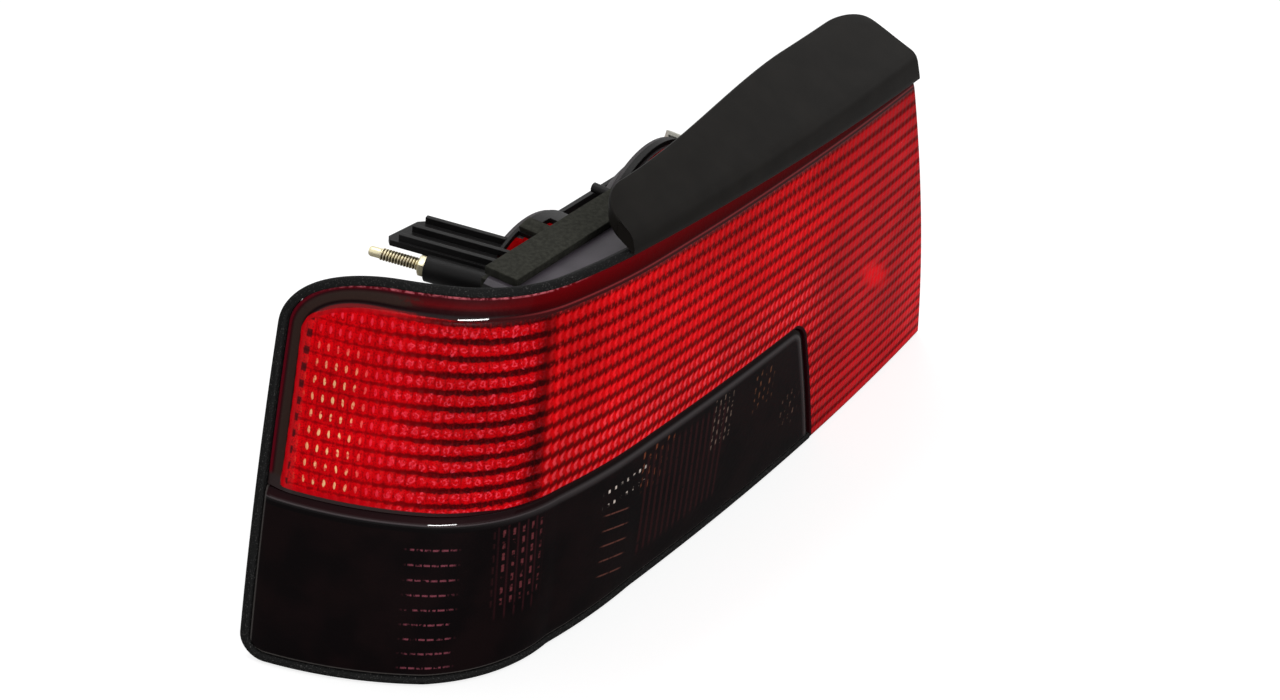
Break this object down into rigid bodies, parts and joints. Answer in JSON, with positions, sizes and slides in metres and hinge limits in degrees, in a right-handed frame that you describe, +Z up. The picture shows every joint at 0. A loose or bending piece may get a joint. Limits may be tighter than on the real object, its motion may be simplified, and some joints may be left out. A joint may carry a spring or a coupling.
{
  "type": "tail light cluster",
  "caption": "Left rear lamp unit that wraps round a car's corner: ribbed red lens over a smoked lens, rubber rim, upper cover, and threaded studs that face forwards.",
  "frame": {"origin": "centre of the outer mounting stud, at the front face of its hexagon collar, which meets the body panel", "axes": "+Z up, +Y towards the front of the car and along the studs, +X towards the middle of the car"},
  "size_m": [0.4506, 0.2152, 0.2315],
  "materials": {
    "red_plastic": "PMMA dyed red, clear through, glossy",
    "smoked_plastic": "PMMA dyed smoke grey, clear through, glossy",
    "black_rubber": "EPDM, matt and grained",
    "black_plastic": "ABS, satin",
    "grey_foam": "closed-cell foam, matt",
    "satin_plastic": "PP, satin",
    "natural_nylon": "nylon, natural",
    "zinc_steel": "zinc plated, yellow",
    "metallised_plastic": "polycarbonate, aluminised inside, grey outside",
    "amber_plastic": "PMMA dyed amber, clear through",
    "clear_plastic": "PMMA, clear",
    "tinned_brass": "tinned",
    "bulb_glass": "clear glass with a nickel-plated base",
    "amber_glass": "amber glass with a nickel-plated base",
    "brass": "bare"
  },
  "bodies": {
    "root": {"red_lens": "red_plastic", "smoked_lens": "smoked_plastic", "rim_seal": "black_rubber", "housing": "black_plastic", "side_reflector": "metallised_plastic", "foam_seal": "grey_foam", "upper_trim": "satin_plastic", "trim_clips": "natural_nylon", "mounting_studs": "zinc_steel", "reflector_unit": "metallised_plastic", "reflector_clips": "natural_nylon", "indicator_filter": "amber_plastic", "reverse_optic": "clear_plastic", "bulb_carrier": "black_plastic", "bulb_sockets": "tinned_brass", "stop_tail_bulb": "bulb_glass", "stop_bulb": "bulb_glass", "tail_bulb": "bulb_glass", "indicator_bulb": "amber_glass", "reverse_bulb": "bulb_glass", "fog_bulb": "bulb_glass", "earth_track": "brass", "stop_tail_track": "brass", "stop_track": "brass", "tail_track": "brass", "indicator_track": "brass", "reverse_track": "brass", "fog_track": "brass"}
  },
  "joints": []
}
